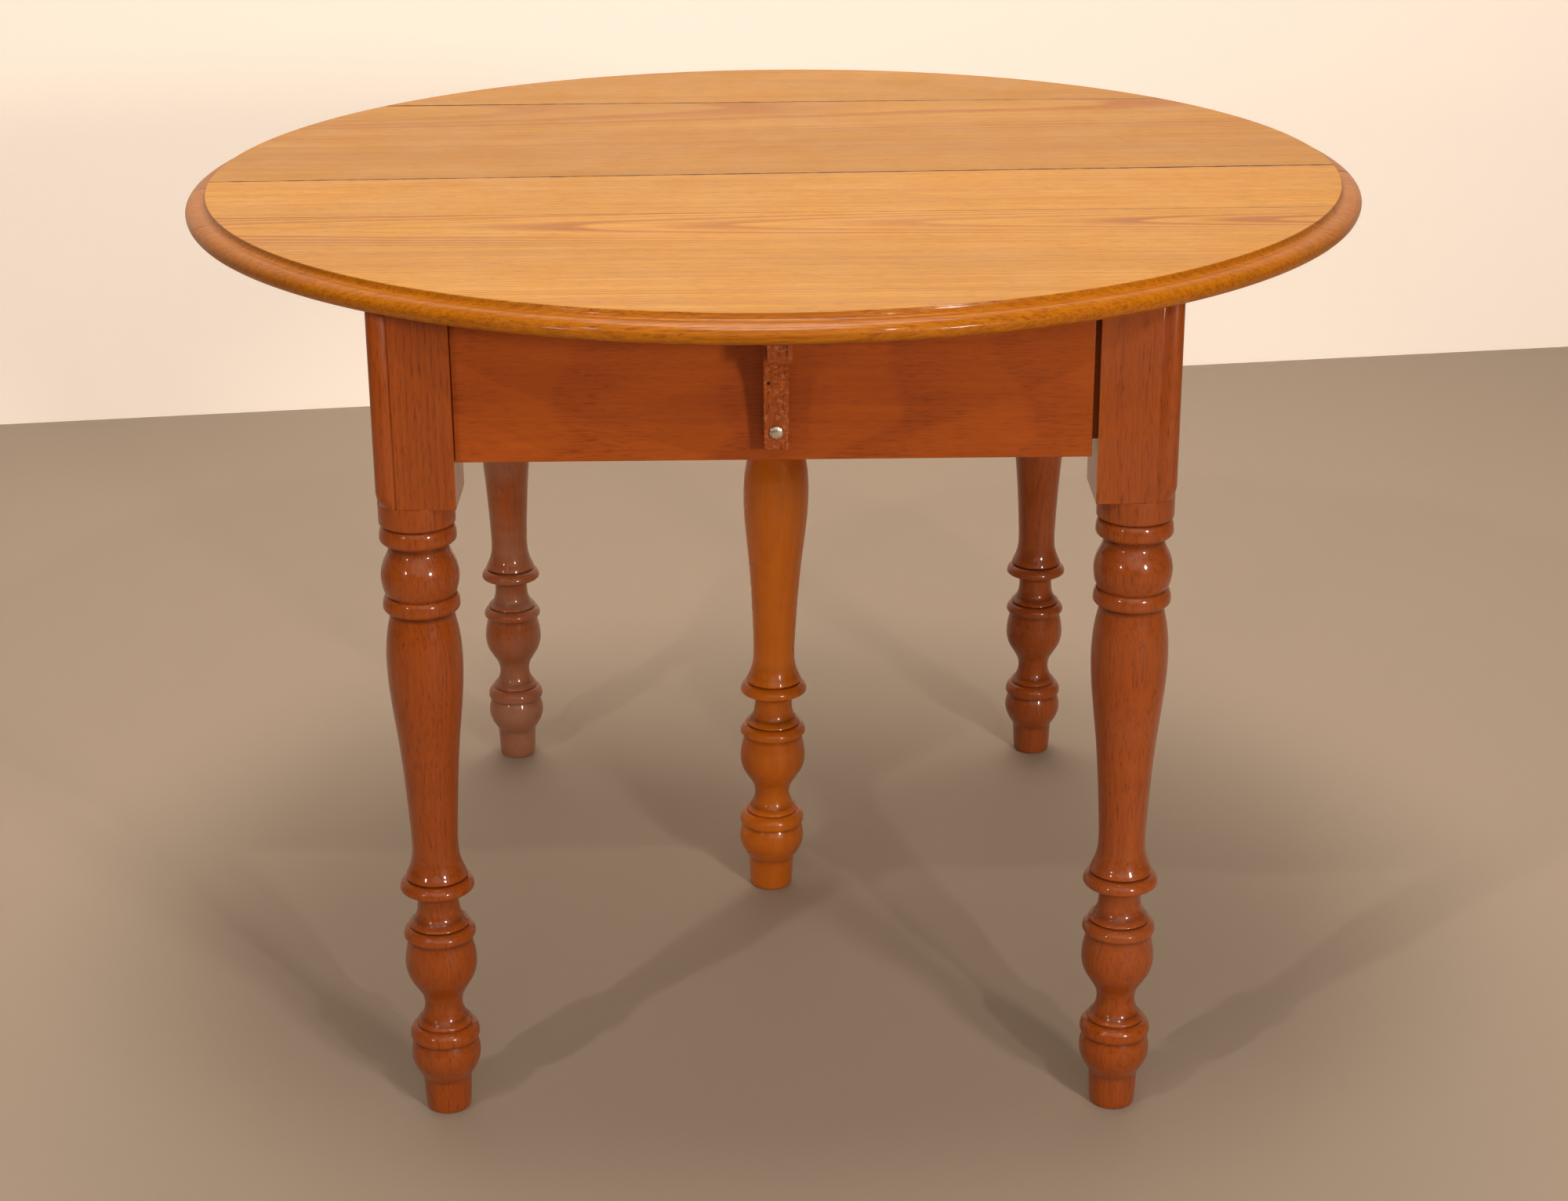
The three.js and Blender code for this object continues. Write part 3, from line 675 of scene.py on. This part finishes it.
quarter_turns = {(1, 1): 0, (-1, 1): 1, (-1, -1): 2, (1, -1): 3}
dust_on = {"leg_front_left": 0.03, "leg_front_right": 0.06, "leg_back_left": 0.60, "leg_back_right": 0.10}
corner_leg = turned_leg()
bead_end = [(block_foot, 0.0), (block_foot + 7 * MM, 0.75)]
block_levels = [block_foot, block_foot + 7 * MM, block_foot + 12.5 * MM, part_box("leg_front_left")[1].z]
add_block(corner_leg, block_outline(), block_levels)
carve_bead_end(corner_leg, bead_end)
just_below_block = block_foot - 0.1 * MM
ease_edges(corner_leg, 0.7 * MM, sharp_degrees=60, above=just_below_block)
smooth_shading(corner_leg)
for number, (node, corner) in enumerate(leg_blocks.items()):
    axis_x, axis_y = (
        (low if side > 0 else high) + side * axis_from_inner_face
        for side, low, high in zip(corner, *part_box(node))
    )
    leg = corner_leg.copy()
    turn = Matrix.Rotation(quarter_turns[corner] * math.pi / 2, 4, "Z")
    place = Matrix.Translation((axis_x, axis_y, 0))
    bmesh.ops.transform(leg, matrix=place @ turn, verts=leg.verts)
    finish = leg_oak(f"leg oak {node}", (number * 1.3, number * 0.7, number * 0.9), dust_on[node])
    stand_for(node, leg, node.replace("leg", "turned_leg"), finish)


# ---- Fifth leg ---------------------------------------------------------------------------
# The centre leg is turned to the same pattern, stouter low down, in close-grained maple with
# an orange stain. A tenon holds it in the bearer that ties the two centre rails together.

# maple_light is brighter than the wood's own tone: painted light standing in for the light the shaded shaft
# lacks.
maple_light = (0.88, 0.230, 0.010)
maple_dark = (0.60, 0.130, 0.007)
maple_pore = (0.45, 0.09, 0.006)


def centre_stoutness(height):
    """How much wider than a corner leg it is at a height in millimetres: 8% at the floor, 0 from 430 up."""
    return 1.08 - 0.08 * min(height, 430) / 430


low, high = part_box("leg_centre")
centre_y = (low.y + high.y) / 2
bearer_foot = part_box("centre_bearer")[0].z
centre_leg = turned_leg(centre_stoutness)
square = [(-35, -35), (35, -35), (35, 35), (-35, 35)]
add_block(centre_leg, square, [block_foot, bearer_foot - 0.3 * MM])
ease_edges(centre_leg, 0.8 * MM, sharp_degrees=60, above=just_below_block)
tenon_width, tenon_foot, tenon_head = 34 * MM, bearer_foot - 10 * MM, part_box("leg_centre")[1].z
bmesh.ops.create_cube(
    centre_leg, size=1.0,
    matrix=Matrix.Translation((0, 0, (tenon_foot + tenon_head) / 2))
    @ Matrix.Diagonal((tenon_width, tenon_width, tenon_head - tenon_foot, 1.0)),
)
smooth_shading(centre_leg)
# It leans a little to the right: plumb over the middle at this height.
plumb_height, lean = 290 * MM, 0.019
leaning = Matrix(((1, 0, lean, -lean * plumb_height), (0, 1, 0, centre_y), (0, 0, 1, 0), (0, 0, 0, 1)))
bmesh.ops.transform(centre_leg, matrix=leaning, verts=centre_leg.verts)

maple = Finish(
    "stained maple", GRAIN_UP, (9.0, 3.0, 5.0), (0.05, 0.08, 0.01, 0.009, 0.012),
    maple_light, maple_dark, maple_pore, figure=0.25, grit=0.3,
)
stains = spread(maple.tree, streaks(maple.tree, maple.place, 11.0, 7.0, 2.0, 12.0), 0.55, 0.78)
maple.shade(sum_up(maple.tree, "MULTIPLY", stains, 0.35), (0.62, 0.50, 0.40), "MULTIPLY")
# Painted light: the leg is painted darker below about 0.2 m, so its upper shaft reads as more brightly lit.
painted_shade_low = sum_up(maple.tree, "SUBTRACT", 1.0, spread(maple.tree, maple.axes.outputs[2], 0.20, 0.26))
maple.shade(painted_shade_low, (0.78, 0.74, 0.85), "MULTIPLY")
# Painted shade in the leg's hollows.
paint_hollow_shade(maple, 0.7)
maple_gloss = maple.lacquer(
    roughness=0.28, uneven=0.04, coat=0.35, coat_roughness=0.05, relief=0.04 * MM, shine=0.22,
)
stand_for("leg_centre", centre_leg, "turned_leg_centre", maple_gloss)


# ---- Aprons ------------------------------------------------------------------------------
# Plain oak boards on edge, tenoned into the legs, set back a little from the legs' faces.
# The side ones are sawn through at the split. Front and back carry the rim brackets' screws.

def straight_piece(node):
    """A clean copy of a straight-sided frame piece, with flat faces made whole."""
    mesh = bmesh.new()
    mesh.from_mesh(frame["nodes"][node].data)
    bmesh.ops.remove_doubles(mesh, verts=mesh.verts, dist=0.01 * MM)
    whole_flats(mesh)
    return mesh


apron_light = (0.45, 0.092, 0.0076)
apron_dark = (0.28, 0.048, 0.0050)
apron_growth = (0.685, 0.03, 0.10, 0.011, 0.03)

for number, node in enumerate(sorted(name for name in frame["nodes"] if name.startswith("apron_"))):
    along_x = node in ("apron_front", "apron_back")
    apron = straight_piece(node)
    ease_edges(apron, 0.8 * MM)
    smooth_shading(apron)
    grain = GRAIN_ALONG_X_UPRIGHT if along_x else GRAIN_ALONG_Y_UPRIGHT
    finish = Finish(
        f"apron oak {node}", grain, (number * 1.9, 0.2 * number, 0.5 * number), apron_growth,
        apron_light, apron_dark, leg_pore, figure=0.42, grit=0.80,
    )
    flame = spread(finish.tree, streaks(finish.tree, finish.place, 7.0, 24.0, 3.0, 2.0), 0.42, 0.70)
    finish.shade(sum_up(finish.tree, "MULTIPLY", flame, 0.36), (0.62, 0.50, 0.42), "MULTIPLY")
    satin = finish.lacquer(
        roughness=0.42, uneven=0.05, coat=0.08, coat_roughness=0.16, relief=0.06 * MM, shine=0.22,
    )
    stand_for(node, apron, f"oak_{node}", satin)


# ---- Rim brackets and their screws -------------------------------------------------------
# A dark block on the middle of each end apron props the overhanging rim. It is sawn to a
# hollow curve below its head, left rough, and held by one bright round-headed screw.

bracket_light = (0.43, 0.090, 0.010)
bracket_dark = (0.22, 0.040, 0.005)
bracket_pore = (0.06, 0.012, 0.003)
bracket_wood = Finish(
    "rough stained block", GRAIN_UP, (2.0, 5.0, 1.0), (0.12, 0.08, 0.02, 0.0028, 0.004),
    bracket_light, bracket_dark, bracket_pore, figure=0.4, grit=1.3,
)
block_tree = bracket_wood.tree
flakes = spread(block_tree, streaks(block_tree, bracket_wood.place, 260.0, 330.0, 3.0), 0.50, 0.68)
bracket_wood.shade(sum_up(block_tree, "MULTIPLY", flakes, 0.45), (0.60, 0.24, 0.10))
# An old nail hole near the top of the stem, painted as a dark disc: painted shade standing in for the hole's
# depth.
hole_x, hole_z, hole_radius, hole_blur = -5 * MM, 677 * MM, 1.5 * MM, 0.4 * MM
across_hole, up_hole = (
    sum_up(block_tree, "POWER", sum_up(block_tree, "SUBTRACT", bracket_wood.axes.outputs[axis], middle), 2.0)
    for axis, middle in ((0, hole_x), (2, hole_z))
)
from_hole = sum_up(block_tree, "SQRT", sum_up(block_tree, "ADD", across_hole, up_hole))
past_hole = spread(block_tree, from_hole, hole_radius - hole_blur, hole_radius + hole_blur)
bracket_wood.shade(sum_up(block_tree, "SUBTRACT", 1.0, past_hole), (0.02, 0.006, 0.003))
bracket_finish = bracket_wood.lacquer(
    roughness=0.60, uneven=0.08, coat=0.06, coat_roughness=0.3, relief=0.4 * MM, shine=0.25,
)

steel = bpy.data.materials.new("bright steel")
steel.use_nodes = True
steel_tree = steel.node_tree
steel_shader = steel_tree.nodes["Principled BSDF"]
steel_place = add_node(steel_tree, "ShaderNodeTexCoord").outputs["Object"]
scuffs = streaks(steel_tree, steel_place, 900.0, 240.0, 3.0)
steel_shader.inputs["Metallic"].default_value = 1.0
steel_tree.links.new(
    mixed(steel_tree, spread(steel_tree, scuffs, 0.35, 0.7), (0.80, 0.72, 0.60), (0.55, 0.46, 0.36)),
    steel_shader.inputs["Base Color"],
)
steel_tree.links.new(spread(steel_tree, scuffs, -0.3, 1.9), steel_shader.inputs["Roughness"])
dents = add_node(steel_tree, "ShaderNodeBump", {"Strength": 0.6, "Distance": 0.5 * MM, "Height": scuffs})
steel_tree.links.new(dents.outputs[0], steel_shader.inputs["Normal"])

for end, outward in (("front", -1), ("back", 1)):
    node = f"rim_bracket_{end}"
    bracket = straight_piece(node)
    ease_edges(bracket, 0.9 * MM)
    smooth_shading(bracket)
    stand_for(node, bracket, f"rim_block_{end}", bracket_finish)

    node = f"bracket_screw_{end}"
    low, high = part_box(node)
    axis_x, axis_z = (low.x + high.x) / 2, (low.z + high.z) / 2
    head_y = low.y if end == "front" else high.y
    head_radius = (high.z - low.z) / 2
    head_height = 2.4 * MM
    length, point = 30 * MM, 5 * MM
    point_radius, shank_radius = 1.2 * MM, 2.2 * MM
    # The round head and shank, drawn along Z with the head up, then laid along Y.
    dome = arc_points((0, -head_height), (head_radius, head_height), 0, 90, 10)[:-1]
    outline = [
        (0.0, -length), (point_radius, -length), (shank_radius, -length + point),
        (shank_radius, -head_height), (head_radius * 0.97, -head_height - 0.05 * MM), *dome, (0.0, 0.0),
    ]
    screw = spun(outline, 10)
    tilt = Matrix.Rotation(math.radians(25), 4, "Z")
    lay = Matrix.Rotation(math.radians(90) * -outward, 4, "X")
    bmesh.ops.transform(
        screw, matrix=Matrix.Translation((axis_x, head_y, axis_z)) @ lay @ tilt, verts=screw.verts,
    )
    smooth_shading(screw)
    stand_for(node, screw, f"round_head_screw_{end}", steel)


# ---- Hidden frame: cleats, braces, bearer and ties ----------------------------------------
# Unfinished softwood, sawn and planed, screwed and glued inside the frame where it can't be
# seen from above. The braces stiffen the corners; the cleats hold the top down.

pine_light = (0.58, 0.37, 0.18)
pine_dark = (0.40, 0.21, 0.085)
pine_pore = (0.25, 0.12, 0.05)
pine_names = ("cleat_", "corner_brace_", "centre_bearer", "centre_leg_brace_", "centre_rail_tie_")


def bare_pine(name, grain, shift, pith):
    """Softwood off the plane, with no lacquer on it."""
    finish = Finish(name, grain, shift, pith, pine_light, pine_dark, pine_pore, figure=0.9)
    return finish.lacquer(roughness=0.72, uneven=0.06, coat=0.0, coat_roughness=0.3, relief=0.15 * MM)


pine_across = bare_pine(
    "bare pine, grain along x", GRAIN_ALONG_X, (1.0, 2.0, 3.0), (0.3, 0.9, 0.02, 0.004, 0.02),
)
pine_lengthwise = bare_pine(
    "bare pine, grain along y", GRAIN_ALONG_Y, (4.0, 1.0, 2.0), (0.1, 0.9, 0.02, 0.004, 0.02),
)

for node in sorted(name for name in frame["nodes"] if name.startswith(pine_names)):
    low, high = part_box(node)
    lengthwise = high.y - low.y > high.x - low.x
    bare = straight_piece(node)
    ease_edges(bare, 1.0 * MM)
    smooth_shading(bare)
    stand_for(node, bare, f"pine_{node}", pine_lengthwise if lengthwise else pine_across)


# ---- Slides ------------------------------------------------------------------------------
# Six maple rails, three to a side, that run tongue in groove and are rubbed with wax. The
# outer pair goes with the front half, the inner pair with the back, the middle pair stays.

rail_light = (0.50, 0.32, 0.165)
rail_dark = (0.36, 0.20, 0.09)
rail_pore = (0.18, 0.09, 0.04)
waxed_maple = Finish(
    "waxed maple", GRAIN_ALONG_Y, (6.0, 4.0, 1.0), (0.1, 0.8, 0.015, 0.005, 0.02),
    rail_light, rail_dark, rail_pore, figure=0.8,
).lacquer(roughness=0.48, uneven=0.08, coat=0.1, coat_roughness=0.25, relief=0.08 * MM)

rail_names = ("front_rail_", "back_rail_", "centre_rail_left", "centre_rail_right")
for node in sorted(name for name in frame["nodes"] if name.startswith(rail_names)):
    rail = straight_piece(node)
    ease_edges(rail, 0.6 * MM)
    smooth_shading(rail)
    stand_for(node, rail, f"maple_{node}", waxed_maple)


# ---- Seam dowels -------------------------------------------------------------------------
# Three beech pins glued into the back half's edge. They slide into the front half and line
# the two halves up.

beech_light = (0.60, 0.40, 0.22)
beech_dark = (0.45, 0.27, 0.13)
beech_pore = (0.28, 0.15, 0.07)
beech = Finish(
    "bare beech", GRAIN_ALONG_Y, (8.0, 6.0, 2.0), (0.0, 0.8, 0.01, 0.003, 0.01),
    beech_light, beech_dark, beech_pore, figure=0.7,
).lacquer(roughness=0.6, uneven=0.05, coat=0.0, coat_roughness=0.3, relief=0.05 * MM)

for node in sorted(name for name in frame["nodes"] if name.startswith("seam_dowel_")):
    low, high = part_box(node)
    radius = (high.z - low.z) / 2
    length = high.y - low.y
    chamfer = 1.5 * MM
    outline = [
        (0.0, 0.0), (radius - chamfer, 0.0), (radius, chamfer),
        (radius, length - chamfer), (radius - chamfer, length), (0.0, length),
    ]
    pin = spun(outline, 8)
    lay = Matrix.Rotation(math.radians(90), 4, "X")
    place = Matrix.Translation(((low.x + high.x) / 2, high.y, (low.z + high.z) / 2))
    bmesh.ops.transform(pin, matrix=place @ lay, verts=pin.verts)
    smooth_shading(pin)
    stand_for(node, pin, node.replace("seam_dowel", "beech_pin"), beech)


# ---- Floor, light and camera -------------------------------------------------------------
# A plain pale floor with a pale backdrop behind it. Broad soft lamps overhead and in front light
# the table, and four small ones in front give the turnings their paired highlights.

def matt_paint(name, colour, roughness):
    """A plain matt paint for the floor and the backdrop; returns it with its node tree and shader."""
    paint = bpy.data.materials.new(name)
    paint.use_nodes = True
    shader = paint.node_tree.nodes["Principled BSDF"]
    shader.inputs["Base Color"].default_value = (*colour, 1)
    shader.inputs["Roughness"].default_value = roughness
    return paint, paint.node_tree, shader


def stage_sheet(name, half_size, place, paint):
    """A flat sheet for the table to stand on or in front of, a square turned and stretched into place."""
    mesh = bmesh.new()
    bmesh.ops.create_grid(mesh, x_segments=1, y_segments=1, size=half_size)
    bmesh.ops.transform(mesh, verts=mesh.verts, matrix=place)
    data = bpy.data.meshes.new(name)
    mesh.to_mesh(data)
    mesh.free()
    data.materials.append(paint)
    sheet = bpy.data.objects.new(name, data)
    bpy.context.scene.collection.objects.link(sheet)


floor_paint, _, _ = matt_paint("pale floor", (0.40, 0.325, 0.255), 0.7)
stage_sheet("floor", 30.0, Matrix.Identity(4), floor_paint)

# The backdrop stands a little askew behind the table and is see-through from its own back.
backdrop_middle, backdrop_askew, backdrop_half_size = (0, 1.86, 2.0), math.radians(8), (7.0, 2.0, 1.0, 1.0)
wall_paint, wall_tree, wall_shader = matt_paint("pale backdrop", (0.90, 0.84, 0.78), 0.9)
stage_sheet(
    "backdrop", 1.0,
    Matrix.Translation(backdrop_middle) @ Matrix.Rotation(backdrop_askew, 4, "Z")
    @ Matrix.Rotation(math.radians(90), 4, "X") @ Matrix.Diagonal(backdrop_half_size),
    wall_paint,
)
# The room's own light on the backdrop, which the table isn't lit by.
wall_glow = 0.31
wall_shader.inputs["Emission Color"].default_value = (1.0, 0.84, 0.70, 1)
wall_seen = add_node(wall_tree, "ShaderNodeLightPath").outputs["Is Camera Ray"]
wall_tree.links.new(
    sum_up(wall_tree, "MULTIPLY", wall_seen, wall_glow), wall_shader.inputs["Emission Strength"],
)
see_through = add_node(wall_tree, "ShaderNodeBsdfTransparent")
behind = add_node(wall_tree, "ShaderNodeNewGeometry").outputs["Backfacing"]
one_sided = add_node(
    wall_tree, "ShaderNodeMixShader", {0: behind, 1: wall_shader.outputs[0], 2: see_through.outputs[0]},
)
wall_tree.links.new(one_sided.outputs[0], wall_tree.nodes["Material Output"].inputs[0])

world = bpy.data.worlds.new("pale room")
bpy.context.scene.world = world
world.use_nodes = True
room = world.node_tree.nodes["Background"]
room.inputs["Color"].default_value = (1.0, 0.86, 0.72, 1)
# The room looks bright past the floor's end, but lights the table only faintly.
room_light, room_extra_seen = 0.08, 0.70
seen = add_node(world.node_tree, "ShaderNodeLightPath").outputs["Is Camera Ray"]
world.node_tree.links.new(
    sum_up(world.node_tree, "MULTIPLY_ADD", seen, room_extra_seen, room_light), room.inputs["Strength"],
)


lamp_colour = (1.0, 0.88, 0.76)


def soft_light(name, place, aim, size, power):
    """A round lamp at a place, turned to face another; its size is in metres and its power in watts."""
    lamp = bpy.data.lights.new(name, "AREA")
    lamp.shape = "DISK"
    lamp.size = size
    lamp.energy = power
    lamp.color = lamp_colour
    holder = bpy.data.objects.new(name, lamp)
    bpy.context.scene.collection.objects.link(holder)
    holder.location = place
    holder.rotation_euler = (Vector(aim) - Vector(place)).to_track_quat("-Z", "Y").to_euler()
    holder.visible_camera = False


table_middle = (0.0, 0.0, 0.45)
soft_light("ceiling lamp", (0.0, -0.45, 4.2), table_middle, 1.2, 46)
soft_light("wall wash", (0.0, 0.9, 3.4), (0.0, 1.86, 0.8), 1.6, 44)
soft_light("front fill", (0.0, -4.6, 3.3), table_middle, 4.0, 44)
soft_light("key lamp", (2.05, -3.35, 1.45), table_middle, 0.45, 54)
soft_light("side lamp", (-2.38, -3.15, 1.50), table_middle, 0.30, 13)
soft_light("high lamp left", (-2.38, -3.15, 4.0), table_middle, 0.10, 30)
soft_light("high lamp right", (1.23, -2.82, 3.3), table_middle, 0.08, 20)

camera_data = bpy.data.cameras.new("camera")
camera = bpy.data.objects.new("camera", camera_data)
bpy.context.scene.collection.objects.link(camera)
bpy.context.scene.camera = camera
camera_data.sensor_width = 36.0
camera_data.lens = 64.0
camera_data.shift_x = 0.0356
camera_data.shift_y = -0.0009
camera_data.clip_end = 100.0
camera_place = (-0.0098, -2.5454, 1.2954)
pitch, yaw, roll = math.radians(20.741), math.radians(-0.795), math.radians(-0.795)
forward = Vector((math.sin(yaw) * math.cos(pitch), math.cos(yaw) * math.cos(pitch), -math.sin(pitch)))
level = Vector((math.cos(yaw), -math.sin(yaw), 0.0))
upward = level.cross(forward)
right = level * math.cos(roll) + upward * math.sin(roll)
up = upward * math.cos(roll) - level * math.sin(roll)
turn = Matrix((right, up, -forward)).transposed().to_4x4()
camera.matrix_world = Matrix.Translation(camera_place) @ turn

bpy.context.scene.view_settings.view_transform = "Standard"
bpy.context.scene.view_settings.look = "None"
